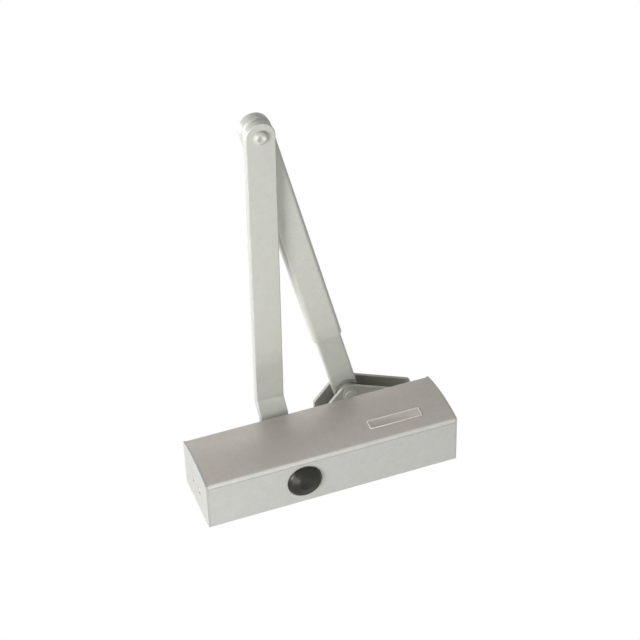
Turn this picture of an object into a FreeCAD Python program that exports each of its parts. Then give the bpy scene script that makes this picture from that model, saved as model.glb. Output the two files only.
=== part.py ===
import FreeCAD, Part
import os
import re
import Sketcher

# Scissor-arm door closer, in millimetres. +Z is the spindle's axis, towards the arms.
# The mounting face lies in the plane Y = 0 and the front faces -Y. The origin is the centre of
# the four fixing holes of the body. The arms stand out from the body, and the forearm comes
# back to a bracket whose foot lies in the plane of the mounting face.

SIZES = {
    # body and its shells
    "body_length": 226,
    "body_height": 62,
    "side_depth": 45.3,
    "front_bulge": 3.8,
    "end_cap_wall": 2,
    "peg_radius": 1.9,
    "peg_length": 5,
    "peg_back": 9,
    "peg_side": 22,
    "cover_lip": 4,
    "cover_wall": 1.6,
    "cover_edge": 2,
    "cover_gap": 0.3,
    "seam_gap": 0.35,
    "fit_gap": 0.05,
    "thread_gap": 0.1,
    # fixing holes of the body
    "fixing_span": 172,
    "fixing_rise": 45,
    "fixing_radius": 3,
    "fixing_head_radius": 5.5,
    "fixing_head_depth": 6,
    # cylinder, piston and pinion
    "spindle_from_end": 86,
    "bore_radius": 16,
    "gear_module": 1.6,
    "pinion_teeth": 10,
    "pressure_angle": 25,
    "tooth_addendum": 1.3,
    "tooth_dedendum": 1.75,
    "tooth_backlash": 0.2,
    "pinion_half": 15,
    "turn_limit": 150,
    "window_clear": 0.7,
    "piston_head": 12,
    "piston_tail": 14,
    "head_space": 5,
    "piston_boss_radius": 5.5,
    "piston_boss": 6,
    # one-way valve in the piston's head
    "check_bore": 2.8,
    "check_depth": 6,
    "check_hole": 1.2,
    "check_disc_radius": 2.2,
    "check_disc": 1.2,
    "check_retainer": 1.5,
    # spindle, its bearings and seals
    "journal_radius": 7.5,
    "pinion_way": 10.5,
    "seat_radius": 12.5,
    "seat_start": 17,
    "bearing_height": 7,
    "ring_height": 5,
    "ring_clear": 0.5,
    "washer_radius": 9.2,
    "washer_gap": 0.05,
    "shaft_seal": 2.2,
    "spanner_radius": 1.2,
    "spanner_depth": 2.5,
    "journal_end": 28,
    "lower_square": 10,
    "lower_square_end": 32.5,
    "square_recess": 0.2,
    "upper_square": 11,
    # cylinder plug and springs
    "plug_radius": 17.5,
    "plug_thickness": 12,
    "plug_recess": 4,
    "plug_hex": 12,
    "plug_hex_depth": 6,
    "plug_seal": 2.2,
    "plug_seal_place": 2.5,
    "outer_coil": 13.4,
    "outer_wire": 2,
    "outer_turns": 6,
    "inner_coil": 8.6,
    "inner_wire": 1.4,
    "inner_turns": 8,
    # needle valves in the left end
    "valve_side": 9,
    "valve_bore": 3.5,
    "valve_depth": 25,
    "valve_recess": 0.5,
    "valve_head": 4,
    "valve_shank": 12,
    "valve_tip_radius": 1.3,
    "valve_seal": 1.1,
    "valve_slot": 1,
    "valve_slot_depth": 1.2,
    "oil_way": 1.5,
    # black cap over the lower end of the spindle
    "cap_radius": 15.25,
    "cap_height": 4.5,
    "cap_rim": 1.4,
    "cap_bevel": 1.7,
    "cap_shoulder": 2.9,
    "cap_dish_radius": 6.5,
    "cap_dish": 0.7,
    "cap_wall": 1.5,
    "cap_spigot": 1.7,
    # main arm
    "arm_height": 41.4,
    "arm_length": 287.9,
    "arm_angle": -89.07,
    "arm_width": 25,
    "arm_thickness": 7,
    "arm_edge": 1,
    "arm_end": 12.4,
    "joggle_start": 14.4,
    "joggle_run": 10.2,
    "joggle_rise": 11.5,
    "bend_radius": 2.5,
    "seen_bend_radius": 4.5,
    "outer_bend_radius": 7,
    "arm_washer_radius": 9,
    "arm_washer": 1.6,
    "arm_screw_radius": 3,
    "arm_screw_depth": 16,
    "arm_screw_hex": 13,
    "arm_screw_head": 5.2,
    # knee
    "knee_rivet_radius": 4,
    "knee_head_radius": 6.2,
    "knee_head": 3,
    "knee_dimple_radius": 3.4,
    "knee_dimple": 0.9,
    "knee_washer_radius": 11.6,
    "knee_washer": 1,
    "knee_far_head": 2.2,
    # forearm sleeve and rod
    "sleeve_width": 26.4,
    "sleeve_length": 227,
    "sleeve_sheet": 1.5,
    "sleeve_inside": 7.4,
    "sleeve_bend": 3.8,
    "sleeve_mouth": 15,
    "rod_start": 105,
    "rod_width": 23,
    "rod_thickness": 7,
    "rod_edge": 2,
    "rod_eye": 11.4,
    "rod_gap": 0.1,
    "forearm_lean": 13.9,
    "adjust_in": 20,
    "adjust_out": 50,
    "clamp_place": 175,
    "clamp_radius": 3,
    "clamp_clear": 0.4,
    "clamp_height": 15.4,
    "clamp_washer_radius": 6.2,
    "clamp_washer": 1.6,
    "clamp_nut": 5,
    "clamp_nut_hex": 10,
    # bracket, its pin and bushes
    "pivot_height": 27.2,
    "bracket_sheet": 3,
    "bracket_gap": 15,
    "bracket_left": 26.7,
    "bracket_left_end": 12,
    "bracket_right": 66.3,
    "bracket_right_end": 9.6,
    "bracket_apex_x": 3.1,
    "bracket_apex": 11,
    "apex_radius": 8,
    "bracket_corner": 2,
    "bracket_bend": 2.5,
    "bracket_hole_left": 18.5,
    "bracket_hole_right": 51.5,
    "bracket_hole_radius": 2.75,
    "pin_radius": 4,
    "pin_head_radius": 6.8,
    "pin_head": 1.2,
    "pin_button_radius": 4.7,
    "pin_button": 2.6,
    "pin_head_edge": 0.9,
    "pin_far_head": 2,
    "bush_flange_radius": 11.1,
    "bush_collar_radius": 9.7,
    "bush_flange": 3.9,
    "bush_radius": 6,
    "bush_length": 3.3,
}

# Places and sizes that follow from the driving dimensions, as formulas.
FORMULAS = {
    "half_length": "body_length / 2",
    "half_height": "body_height / 2",
    "spindle_x": "spindle_from_end - half_length",
    "housing_half": "half_length - end_cap_wall",
    "front_radius": "(half_height ^ 2 + front_bulge ^ 2) / (2 * front_bulge)",
    "front_centre": "front_radius - side_depth - front_bulge",
    "front_depth": "side_depth + front_bulge",
    "lip_y": "cover_lip - side_depth",
    "block_depth": "side_depth - cover_lip - seam_gap",
    "land_half": "half_height - cover_wall - fit_gap",
    "land_depth": "sqrt((front_radius - cover_wall) ^ 2 - land_half ^ 2) - front_centre - cover_gap",
    "axis_y": "0 - side_depth / 2",
    "pitch_radius": "gear_module * pinion_teeth / 2",
    "tip_radius": "pitch_radius + tooth_addendum",
    "rack_pitch": "pi * gear_module",
    "travel": "pitch_radius * turn_limit * pi / 180",
    "window_right": "spindle_x + tip_radius + window_clear",
    "window_left": "spindle_x - tip_radius - window_clear - travel",
    "piston_left": "window_left - piston_head",
    "piston_right": "window_right + piston_tail",
    "chamber_left": "piston_left - head_space",
    "plug_outer": "housing_half - plug_recess",
    "plug_inner": "plug_outer - plug_thickness",
    "ring_start": "seat_start + bearing_height",
    "ring_bore": "journal_radius + ring_clear",
    "arm_top": "arm_height + arm_thickness",
    "upper_arm": "arm_height + joggle_rise",
    "upper_arm_top": "upper_arm + arm_thickness",
    "knee_x": "spindle_x + arm_length * cos(arm_angle)",
    "knee_y": "axis_y + arm_length * sin(arm_angle)",
    "forearm_angle": "90 - forearm_lean",
    "forearm_length": "(0 - pivot_height - knee_y) / cos(forearm_lean)",
    "pivot_x": "knee_x + forearm_length * cos(forearm_angle)",
    "pivot_y": "0 - pivot_height",
    "sleeve_z": "upper_arm_top + knee_washer",
    "sleeve_half": "sleeve_width / 2",
    "sleeve_height": "sleeve_inside + 2 * sleeve_sheet",
    "rod_z": "sleeve_z + sleeve_sheet + rod_gap",
    "rod_top": "rod_z + rod_thickness",
    "near_cheek": "rod_z + rod_thickness / 2 - bracket_gap / 2 - bracket_sheet",
    "bracket_width": "bracket_gap + 2 * bracket_sheet",
    "valve_start": "0 - half_length + valve_recess",
    "valve_end": "valve_depth - housing_half",
}

X_WAY = FreeCAD.Rotation(FreeCAD.Vector(0, 1, 0), 90)
Y_WAY = FreeCAD.Rotation(FreeCAD.Vector(1, 0, 0), -90)
Z_WAY = FreeCAD.Rotation()
TOUCH = 0.01

doc = FreeCAD.newDocument("door_closer")
sheet = doc.addObject("Spreadsheet::Sheet", "Sizes")
nodes = []


def fill_sheet():
    """Write each driving dimension in the sheet, with its name as the cell's alias."""
    for row, (name, value) in enumerate(SIZES.items(), start=1):
        sheet.set("A%d" % row, name)
        sheet.set("B%d" % row, str(value))
        sheet.setAlias("B%d" % row, name)
    doc.recompute()


def formula(text):
    """Turn named sizes and formulas into one expression on the sheet."""
    def expand(match):
        word = match.group()
        if word in FORMULAS:
            return "(" + formula(FORMULAS[word]) + ")"
        return "Sizes." + word if word in SIZES else word
    return re.sub(r"[a-z_][a-z0-9_]*", expand, str(text))


def number(text):
    """The value of a formula, as a plain number."""
    value = sheet.evalExpression(formula(text))
    return float(getattr(value, "Value", value))


def bind(item, prop, text):
    item.setExpression(prop, formula(text))


def place(item, x, y, z, rotation=Z_WAY):
    """Bind an object's place to formulas, after turning it."""
    item.Placement = FreeCAD.Placement(FreeCAD.Vector(number(x), number(y), number(z)), rotation)
    bind(item, "Placement.Base.x", x)
    bind(item, "Placement.Base.y", y)
    bind(item, "Placement.Base.z", z)


def turn_about_z(item, angle):
    """Turn an object that stands upright by a bound angle about its own Z axis."""
    base = item.Placement.Base
    turned = FreeCAD.Rotation(FreeCAD.Vector(0, 0, 1), number(angle))
    item.Placement = FreeCAD.Placement(base, turned)
    bind(item, "Placement.Rotation.Angle", angle)


def node(item, label):
    """Keep an object as one finished piece of the closer."""
    item.Label = label
    nodes.append(item)
    return item


# Primitives and booleans

def box(name, corner, size):
    item = doc.addObject("Part::Box", name)
    for prop, text in zip(("Length", "Width", "Height"), size):
        bind(item, prop, text)
    place(item, *corner)
    return item


def cylinder(name, radius, length, base, rotation=Z_WAY):
    item = doc.addObject("Part::Cylinder", name)
    bind(item, "Radius", radius)
    bind(item, "Height", length)
    place(item, *base, rotation)
    return item


def cone(name, radius, end_radius, length, base, rotation=Z_WAY):
    item = doc.addObject("Part::Cone", name)
    bind(item, "Radius1", radius)
    bind(item, "Radius2", end_radius)
    bind(item, "Height", length)
    place(item, *base, rotation)
    return item


def hexagon(name, flats, length, base, rotation=Z_WAY):
    item = doc.addObject("Part::Prism", name)
    item.Polygon = 6
    bind(item, "Circumradius", "%s / sqrt(3)" % flats)
    bind(item, "Height", length)
    place(item, *base, rotation)
    return item


def fuse(name, parts):
    item = doc.addObject("Part::MultiFuse", name)
    item.Shapes = parts
    item.Refine = True
    return item


def common(name, parts):
    item = doc.addObject("Part::MultiCommon", name)
    item.Shapes = parts
    return item


def cut(name, base, tools):
    item = doc.addObject("Part::Cut", name)
    item.Base = base
    item.Tool = tools[0] if len(tools) == 1 else fuse(name + "_tools", tools)
    return item


def tube(name, outer, inner, length, base, rotation=Z_WAY):
    """A plain ring."""
    disc = cylinder(name + "_disc", outer, length, base, rotation)
    hole = cylinder(name + "_hole", inner, length, base, rotation)
    return cut(name, disc, [hole])


# Sketched features

def new_body(name, x, y, z):
    body = doc.addObject("PartDesign::Body", name)
    place(body, x, y, z)
    return body


def new_sketch(body, plane, name, offset="0", angle="0"):
    """A sketch on one of the body's own planes, moved along that plane's normal and turned."""
    sketch = body.newObject("Sketcher::SketchObject", name)
    origin = [f for f in body.Origin.OriginFeatures if f.Role == plane + "_Plane"]
    sketch.AttachmentSupport = [(origin[0], "")]
    sketch.MapMode = "FlatFace"
    turned = FreeCAD.Rotation(FreeCAD.Vector(0, 0, 1), number(angle))
    sketch.AttachmentOffset = FreeCAD.Placement(FreeCAD.Vector(0, 0, number(offset)), turned)
    bind(sketch, "AttachmentOffset.Base.z", offset)
    bind(sketch, "AttachmentOffset.Rotation.Angle", angle)
    return sketch


def tie_point(sketch, geometry, point, x, y):
    """Hold one point of a sketch at bound distances from the sketch's origin."""
    for kind, text in (("DistanceX", x), ("DistanceY", y)):
        rule = Sketcher.Constraint(kind, -1, 1, geometry, point, number(text))
        index = sketch.addConstraint(rule)
        bind(sketch, "Constraints[%d]" % index, text)


def outline(sketch, points):
    """Draw a closed outline whose corners are given as pairs of formulas."""
    first = sketch.GeometryCount
    count = len(points)
    corners = [FreeCAD.Vector(number(x), number(y), 0) for x, y in points]
    for i in range(count):
        sketch.addGeometry(Part.LineSegment(corners[i], corners[(i + 1) % count]), False)
    for i in range(count):
        joined = Sketcher.Constraint("Coincident", first + i, 2, first + (i + 1) % count, 1)
        sketch.addConstraint(joined)
    for i, (x, y) in enumerate(points):
        tie_point(sketch, first + i, 1, x, y)


def rectangle(sketch, left, right, low, high):
    outline(sketch, [(left, low), (right, low), (right, high), (left, high)])


def round_strip(sketch, end, half):
    """Draw a strip along +X whose near end is a half circle about the sketch's origin."""
    corners = [("0", "0 - (%s)" % half), (end, "0 - (%s)" % half), (end, half), ("0", half)]
    points = [FreeCAD.Vector(number(x), number(y), 0) for x, y in corners]
    for i in range(3):
        sketch.addGeometry(Part.LineSegment(points[i], points[i + 1]), False)
    left = FreeCAD.Vector(-number(half), 0, 0)
    sketch.addGeometry(Part.Arc(points[3], left, points[0]), False)
    for first, second in ((0, 1), (1, 2)):
        sketch.addConstraint(Sketcher.Constraint("Coincident", first, 2, second, 1))
    arc_ends = (1, 2) if sketch.Geometry[3].StartPoint.y > 0 else (2, 1)
    sketch.addConstraint(Sketcher.Constraint("Coincident", 2, 2, 3, arc_ends[0]))
    sketch.addConstraint(Sketcher.Constraint("Coincident", 3, arc_ends[1], 0, 1))
    for i in range(3):
        tie_point(sketch, i, 1, *corners[i])
    tie_point(sketch, 2, 2, *corners[3])
    sketch.addConstraint(Sketcher.Constraint("PointOnObject", 3, 3, -2))


def circle(sketch, x, y, radius):
    centre = FreeCAD.Vector(number(x), number(y), 0)
    up = FreeCAD.Vector(0, 0, 1)
    index = sketch.addGeometry(Part.Circle(centre, up, number(radius)), False)
    tie_point(sketch, index, 3, x, y)
    rule = sketch.addConstraint(Sketcher.Constraint("Radius", index, number(radius)))
    bind(sketch, "Constraints[%d]" % rule, radius)


def pad(body, sketch, length, both_ways=False):
    item = body.newObject("PartDesign::Pad", sketch.Name + "_pad")
    item.Profile = sketch
    bind(item, "Length", length)
    item.Midplane = both_ways
    doc.recompute()
    return item


def pocket(body, sketch, depth=None, upwards=False):
    """Cut a sketch out of its body, right through or to a depth, along -normal or upwards."""
    before = body.Shape.Volume
    item = body.newObject("PartDesign::Pocket", sketch.Name + "_pocket")
    item.Profile = sketch
    if depth is None:
        item.Type = "ThroughAll"
        item.Midplane = True
    else:
        bind(item, "Length", depth)
        item.Reversed = upwards
    doc.recompute()
    if not body.Shape.Volume < before:
        raise RuntimeError(sketch.Name + " cuts nothing")
    return item


def revolve(body, sketch):
    """Turn a sketch on the XZ plane about the body's Z axis."""
    item = body.newObject("PartDesign::Revolution", sketch.Name + "_turned")
    item.Profile = sketch
    item.ReferenceAxis = (sketch, ["V_Axis"])
    item.Angle = 360
    doc.recompute()
    return item


def repeat_round(body, feature, count):
    """Repeat a feature about the body's Z axis."""
    axis = [f for f in body.Origin.OriginFeatures if f.Role == "Z_Axis"][0]
    item = body.newObject("PartDesign::PolarPattern", feature.Name + "_round")
    item.Originals = [feature]
    item.Axis = (axis, [""])
    item.Angle = 360
    bind(item, "Occurrences", count)
    body.Tip = item
    doc.recompute()
    return item


def repeat_along_x(body, feature, length, count):
    """Repeat a feature towards the body's -X."""
    axis = [f for f in body.Origin.OriginFeatures if f.Role == "X_Axis"][0]
    item = body.newObject("PartDesign::LinearPattern", feature.Name + "_row")
    item.Originals = [feature]
    item.Direction = (axis, [""])
    item.Reversed = True
    bind(item, "Length", length)
    bind(item, "Occurrences", count)
    body.Tip = item
    doc.recompute()
    return item


def fillet(body, radius, wanted, name):
    """Round the edges whose middle point and box pass a test."""
    before = body.Tip
    names = []
    for i, edge in enumerate(before.Shape.Edges, start=1):
        middle = edge.valueAt((edge.FirstParameter + edge.LastParameter) / 2)
        if wanted(middle, edge.BoundBox):
            names.append("Edge%d" % i)
    if not names:
        raise RuntimeError(name + " finds no edge")
    item = body.newObject("PartDesign::Fillet", name)
    item.Base = (before, names)
    bind(item, "Radius", radius)
    doc.recompute()
    if item.Shape.isNull():
        raise RuntimeError(name + " fails")
    return item


def near(value, text):
    return abs(value - number(text)) < TOUCH


def upright(bounds):
    """An edge that runs along Z only."""
    return bounds.XLength < TOUCH and bounds.YLength < TOUCH


def level(bounds):
    return bounds.ZLength < TOUCH


# Body and its shells

def front_block(name, left, length, inset, depth_start="0"):
    """A length of the body's outline, curved in front, set in by a wall all round."""
    block = box(name + "_block", (left, "0 - front_depth", "%s - half_height" % inset),
                (length, "front_depth - %s" % depth_start, "body_height - 2 * (%s)" % inset))
    curve = cylinder(name + "_curve", "front_radius - %s" % inset, length,
                     (left, "front_centre", "0"), X_WAY)
    return common(name, [block, curve])


def make_housing():
    block = box("housing_block", ("0 - housing_half", "0 - block_depth", "0 - half_height"),
                ("2 * housing_half", "block_depth", "body_height"))
    land = box("housing_land", ("0 - housing_half", "0 - land_depth", "0 - land_half"),
               ("2 * housing_half", "land_depth - block_depth / 2", "2 * land_half"))
    solid = fuse("housing_solid", [block, land])
    tools = [
        cylinder("chamber", "bore_radius", "housing_half - chamber_left + 1",
                 ("chamber_left", "axis_y", "0"), X_WAY),
        cylinder("plug_bore", "plug_radius", "housing_half - plug_inner + 1",
                 ("plug_inner", "axis_y", "0"), X_WAY),
        cylinder("cross_bore", "pinion_way", "body_height + 2",
                 ("spindle_x", "axis_y", "0 - half_height - 1")),
        cylinder("upper_seat", "seat_radius", "half_height", ("spindle_x", "axis_y", "seat_start")),
        cylinder("lower_seat", "seat_radius", "half_height",
                 ("spindle_x", "axis_y", "0 - seat_start - half_height")),
    ]
    for x_side in (-1, 1):
        for z_side in (-1, 1):
            x = "%d * fixing_span / 2" % x_side
            z = "%d * fixing_rise / 2" % z_side
            tag = "%d%d" % (x_side + 1, z_side + 1)
            tools.append(cylinder("fixing_hole" + tag, "fixing_radius", "side_depth + 2",
                                  (x, "0 - side_depth - 1", z), Y_WAY))
            tools.append(cylinder("fixing_head" + tag, "fixing_head_radius",
                                  "fixing_head_depth + 2", (x, "0 - land_depth - 2", z), Y_WAY))
            tools.append(cylinder("peg_hole" + tag, "peg_radius + fit_gap", "peg_length + 2",
                                  ("%d * (housing_half - peg_length / 2) - peg_length / 2 - 1" % x_side,
                                   "0 - peg_back", "%d * peg_side" % z_side), X_WAY))
    for side in (-1, 1):
        z = "%d * valve_side" % side
        tag = str(side + 1)
        tools.append(cylinder("valve_bore_hole" + tag, "valve_bore", "valve_depth + 1",
                              ("0 - housing_half - 1", "axis_y", z), X_WAY))
        tools.append(cylinder("oil_way_hole" + tag, "oil_way", "chamber_left + housing_half",
                              ("0 - housing_half + 1", "axis_y", z), X_WAY))
    node(cut("housing", solid, tools), "housing")


def make_front_cover():
    outer = front_block("cover_outer", "0 - housing_half", "2 * housing_half", "0")
    inner = front_block("cover_inner", "0 - housing_half - 1", "2 * housing_half + 2", "cover_wall")
    back = box("cover_back", ("0 - housing_half - 1", "lip_y", "0 - half_height - 1"),
               ("2 * housing_half + 2", "side_depth", "body_height + 2"))
    shell = cut("cover_shell", outer, [inner, back])
    doc.recompute()
    edges = []
    for i, edge in enumerate(shell.Shape.Edges, start=1):
        bounds = edge.BoundBox
        along = bounds.XLength > number("housing_half")
        corner = near(bounds.YMin, "0 - side_depth") and near(abs(bounds.ZMin), "half_height")
        if along and corner:
            edges.append((i, number("cover_edge"), number("cover_edge")))
    cover = doc.addObject("Part::Fillet", "front_cover")
    cover.Base = shell
    cover.Edges = edges
    node(cover, "front_cover")


def make_end_cap(label, side):
    """A thin end plate with the body's outline and pegs that enter the housing."""
    left = "half_length - end_cap_wall" if side > 0 else "0 - half_length"
    plate = front_block(label + "_plate", left, "end_cap_wall", "0")
    pegs = []
    for z_side in (-1, 1):
        start = "%d * (housing_half - peg_length / 2) - peg_length / 2" % side
        pegs.append(cylinder(label + "_peg%d" % (z_side + 1), "peg_radius", "peg_length",
                             (start, "0 - peg_back", "%d * peg_side" % z_side), X_WAY))
    solid = fuse(label + "_solid", [plate] + pegs)
    if side < 0:
        holes = [cylinder(label + "_hole%d" % (z_side + 1), "valve_bore", "end_cap_wall + 2",
                          ("0 - half_length - 1", "axis_y", "%d * valve_side" % z_side), X_WAY)
                 for z_side in (-1, 1)]
        solid = cut(label + "_bored", solid, holes)
    node(solid, label)


def make_spindle_cap():
    body = new_body("spindle_cap", "spindle_x", "axis_y", "0 - half_height")
    sketch = new_sketch(body, "XZ", "cap_profile")
    outline(sketch, [
        ("0", "cap_dish - cap_height"),
        ("cap_dish_radius", "0 - cap_height"),
        ("cap_radius - cap_bevel", "0 - cap_shoulder"),
        ("cap_radius", "0 - cap_rim"),
        ("cap_radius", "0"),
        ("seat_radius - fit_gap", "0"),
        ("seat_radius - fit_gap", "cap_spigot"),
        ("seat_radius - cap_wall", "cap_spigot"),
        ("seat_radius - cap_wall", "cap_wall + cap_dish - cap_height"),
        ("0", "cap_wall + cap_dish - cap_height"),
    ])
    revolve(body, sketch)
    node(body, "spindle_cap")


# Cylinder: plug, seal, springs, piston

def make_plug():
    disc = cylinder("plug_disc", "plug_radius - thread_gap", "plug_thickness",
                    ("plug_inner", "axis_y", "0"), X_WAY)
    socket = hexagon("plug_socket", "plug_hex", "plug_hex_depth + 1",
                     ("plug_outer - plug_hex_depth", "axis_y", "0"), X_WAY)
    groove = tube("plug_groove", "plug_radius", "plug_radius - plug_seal", "plug_seal + 2 * fit_gap",
                  ("plug_inner + plug_seal_place - fit_gap", "axis_y", "0"), X_WAY)
    node(cut("cylinder_plug", disc, [socket, groove]), "cylinder_plug")
    node(tube("plug_seal", "plug_radius - fit_gap", "plug_radius - plug_seal", "plug_seal",
              ("plug_inner + plug_seal_place", "axis_y", "0"), X_WAY), "plug_seal")


def make_spring(label, coil, wire, turns):
    """A coil spring between the piston's back and the plug."""
    room = "(plug_inner - piston_right - 2 * %s - 2 * fit_gap)" % wire
    start = "piston_right + %s + fit_gap" % wire
    path = doc.addObject("Part::Helix", label + "_path")
    bind(path, "Pitch", "%s / %s" % (room, turns))
    bind(path, "Height", room)
    bind(path, "Radius", coil)
    place(path, start, "axis_y", "0", X_WAY)
    section = doc.addObject("Part::RegularPolygon", label + "_wire")
    section.Polygon = 6
    bind(section, "Circumradius", wire)
    place(section, start, "axis_y", "0 - %s" % coil, Y_WAY)
    spring = doc.addObject("Part::Sweep", label)
    spring.Sections = [section]
    spring.Spine = (path, [])
    spring.Solid = True
    spring.Frenet = True
    node(spring, label)


def make_piston():
    """The plunger: a window for the pinion, with rack teeth on the window's front side."""
    body = new_body("piston", "0", "axis_y", "0")
    profile = new_sketch(body, "YZ", "piston_round", "piston_left")
    circle(profile, "0", "0", "bore_radius - fit_gap")
    pad(body, profile, "piston_right - piston_left")
    boss = new_sketch(body, "YZ", "piston_spring_boss", "piston_right")
    circle(boss, "0", "0", "piston_boss_radius")
    pad(body, boss, "piston_boss")
    window = new_sketch(body, "XY", "piston_window")
    rectangle(window, "window_left", "window_right",
              "tooth_addendum - pitch_radius", "tip_radius + window_clear")
    pocket(body, window)
    half_gap = "(rack_pitch / 4 + tooth_backlash / 2)"
    slope = "tan(pressure_angle)"
    gap = new_sketch(body, "XY", "rack_gap")
    middle = "spindle_x + 1.5 * rack_pitch"
    top, bottom = "tooth_addendum - pitch_radius", "0 - tooth_dedendum - pitch_radius"
    wide = "%s + tooth_addendum * %s" % (half_gap, slope)
    narrow = "%s - tooth_dedendum * %s" % (half_gap, slope)
    outline(gap, [
        ("%s - (%s)" % (middle, narrow), bottom),
        ("%s + (%s)" % (middle, narrow), bottom),
        ("%s + (%s)" % (middle, wide), top),
        ("%s + (%s)" % (middle, wide), "0"),
        ("%s - (%s)" % (middle, wide), "0"),
        ("%s - (%s)" % (middle, wide), top),
    ])
    first = pocket(body, gap)
    count = "floor((travel + tip_radius + window_clear - (%s)) / rack_pitch + 2.5)" % wide
    repeat_along_x(body, first, "((%s) - 1) * rack_pitch" % count, count)
    seat = new_sketch(body, "YZ", "check_valve_bore", "piston_left")
    circle(seat, "0", "0", "check_bore")
    pocket(body, seat, "check_depth", upwards=True)
    port = new_sketch(body, "YZ", "check_valve_port", "piston_left")
    circle(port, "0", "0", "check_hole")
    pocket(body, port, "piston_head + 1", upwards=True)
    node(body, "piston")


def make_check_valve():
    """A loose disc at the bottom of its bore in the piston's head, and the ring that keeps it in."""
    node(cylinder("check_disc", "check_disc_radius", "check_disc",
                  ("piston_left + check_depth - check_disc", "axis_y", "0"), X_WAY), "check_disc")
    node(tube("check_retainer", "check_bore - fit_gap", "check_hole", "check_retainer",
              ("piston_left", "axis_y", "0"), X_WAY), "check_retainer")


# Spindle with its pinion, bearings and seals

def gap_half_angle(radius):
    """Half of the angle of a tooth space at a radius, on an involute flank, in degrees."""
    base = "pitch_radius * cos(pressure_angle)"
    lean = "acos(min(1; %s / (%s)))" % (base, radius)
    spread = "(tan(%s) - %s / 1 deg * pi / 180)" % (lean, lean)
    start = "(tan(pressure_angle) - pressure_angle * pi / 180)"
    backlash = "tooth_backlash / 4 / pitch_radius"
    return "((pi / 2 / pinion_teeth - %s + %s + %s) * 180 / pi)" % (start, spread, backlash)


def make_spindle():
    """One shaft: a square at each end, two journals and the pinion's teeth between them."""
    body = new_body("pinion_spindle", "spindle_x", "axis_y", "0")
    profile = new_sketch(body, "XZ", "spindle_profile")
    outline(profile, [
        ("0", "0 - journal_end"), ("journal_radius", "0 - journal_end"),
        ("journal_radius", "0 - pinion_half"), ("tip_radius", "0 - pinion_half"),
        ("tip_radius", "pinion_half"), ("journal_radius", "pinion_half"),
        ("journal_radius", "arm_height"), ("0", "arm_height"),
    ])
    revolve(body, profile)
    gap = new_sketch(body, "XY", "tooth_gap")
    root = "(pitch_radius - tooth_dedendum)"
    base = "(pitch_radius * cos(pressure_angle))"
    radii = [root, base, "pitch_radius", "tip_radius", "(tip_radius + 1)"]
    angles = [gap_half_angle(r) for r in (base, base, "pitch_radius", "tip_radius", "(tip_radius + 1)")]
    right = [("%s * sin(%s)" % (r, a), "0 - %s * cos(%s)" % (r, a)) for r, a in zip(radii, angles)]
    left = [("0 - %s" % x, y) for x, y in reversed(right)]
    outline(gap, right + left)
    item = body.newObject("PartDesign::Pocket", "tooth_gap_pocket")
    item.Profile = gap
    bind(item, "Length", "2 * pinion_half")
    item.Midplane = True
    doc.recompute()
    repeat_round(body, item, "pinion_teeth")
    for name, side, offset, height in (
            ("upper_square_end", "upper_square", "arm_height", "arm_thickness - square_recess"),
            ("lower_square_end", "lower_square", "0 - lower_square_end",
             "lower_square_end - journal_end")):
        square = new_sketch(body, "XY", name, offset)
        half = "%s / 2" % side
        rectangle(square, "0 - " + half, half, "0 - " + half, half)
        pad(body, square, height)
    hole = new_sketch(body, "XY", "arm_screw_hole", "arm_top")
    circle(hole, "0", "0", "arm_screw_radius + fit_gap")
    pocket(body, hole, "arm_screw_depth")
    node(body, "pinion_spindle")


def ring(name, outer, inner, start, height, side):
    """A ring round the spindle that starts at a height above or below its middle."""
    base = start if side > 0 else "0 - (%s) - (%s)" % (start, height)
    return tube(name, outer, inner, height, ("spindle_x", "axis_y", base))


def make_spindle_rings(word, side):
    """Thrust washer, bearing, threaded ring and seal at one end of the spindle."""
    running = "journal_radius + fit_gap"
    node(ring("thrust_washer_" + word, "washer_radius", running, "pinion_half + washer_gap",
              "seat_start - pinion_half - washer_gap", side), "thrust_washer_" + word)
    node(ring("bearing_" + word, "seat_radius - fit_gap", running, "seat_start",
              "bearing_height", side), "bearing_" + word)
    node(ring("shaft_seal_" + word, "%s + shaft_seal" % running, running, "ring_start",
              "shaft_seal", side), "shaft_seal_" + word)
    disc = ring("cap_blank_" + word, "seat_radius - thread_gap", "ring_bore", "ring_start",
                "ring_height", side)
    rebate = ring("cap_rebate_" + word, "%s + shaft_seal + fit_gap" % running, "ring_bore - fit_gap",
                  "ring_start", "shaft_seal + fit_gap", side)
    tools = [rebate]
    for spot in (-1, 1):
        x = "spindle_x + %d * (seat_radius + ring_bore) / 2" % spot
        face = "ring_start + ring_height"
        z = "%s - spanner_depth" % face if side > 0 else "0 - (%s)" % face
        tools.append(cylinder("spanner_%s%d" % (word, spot + 1), "spanner_radius", "spanner_depth",
                              (x, "axis_y", z)))
    node(cut("bearing_cap_" + word, disc, tools), "bearing_cap_" + word)


def make_valve(label, side):
    """A slotted needle screw with a ring seal, in the left end of the housing."""
    z = "%d * valve_side" % side
    shank = cylinder(label + "_shank", "valve_bore - thread_gap", "valve_head + valve_shank",
                     ("valve_start", "axis_y", z), X_WAY)
    needle = cone(label + "_needle", "valve_bore - thread_gap", "valve_tip_radius",
                  "valve_end - valve_start - valve_head - valve_shank",
                  ("valve_start + valve_head + valve_shank", "axis_y", z), X_WAY)
    solid = fuse(label + "_solid", [shank, needle])
    slot = box(label + "_slot", ("valve_start - 1", "axis_y - valve_bore", "%s - valve_slot / 2" % z),
               ("valve_slot_depth + 1", "2 * valve_bore", "valve_slot"))
    groove = tube(label + "_groove", "valve_bore", "valve_bore - valve_seal", "valve_seal + 2 * fit_gap",
                  ("valve_start + valve_head - fit_gap", "axis_y", z), X_WAY)
    node(cut(label + "_screw", solid, [slot, groove]), label)
    node(tube(label + "_seal", "valve_bore - fit_gap", "valve_bore - valve_seal", "valve_seal",
              ("valve_start + valve_head", "axis_y", z), X_WAY), label + "_seal")


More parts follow.
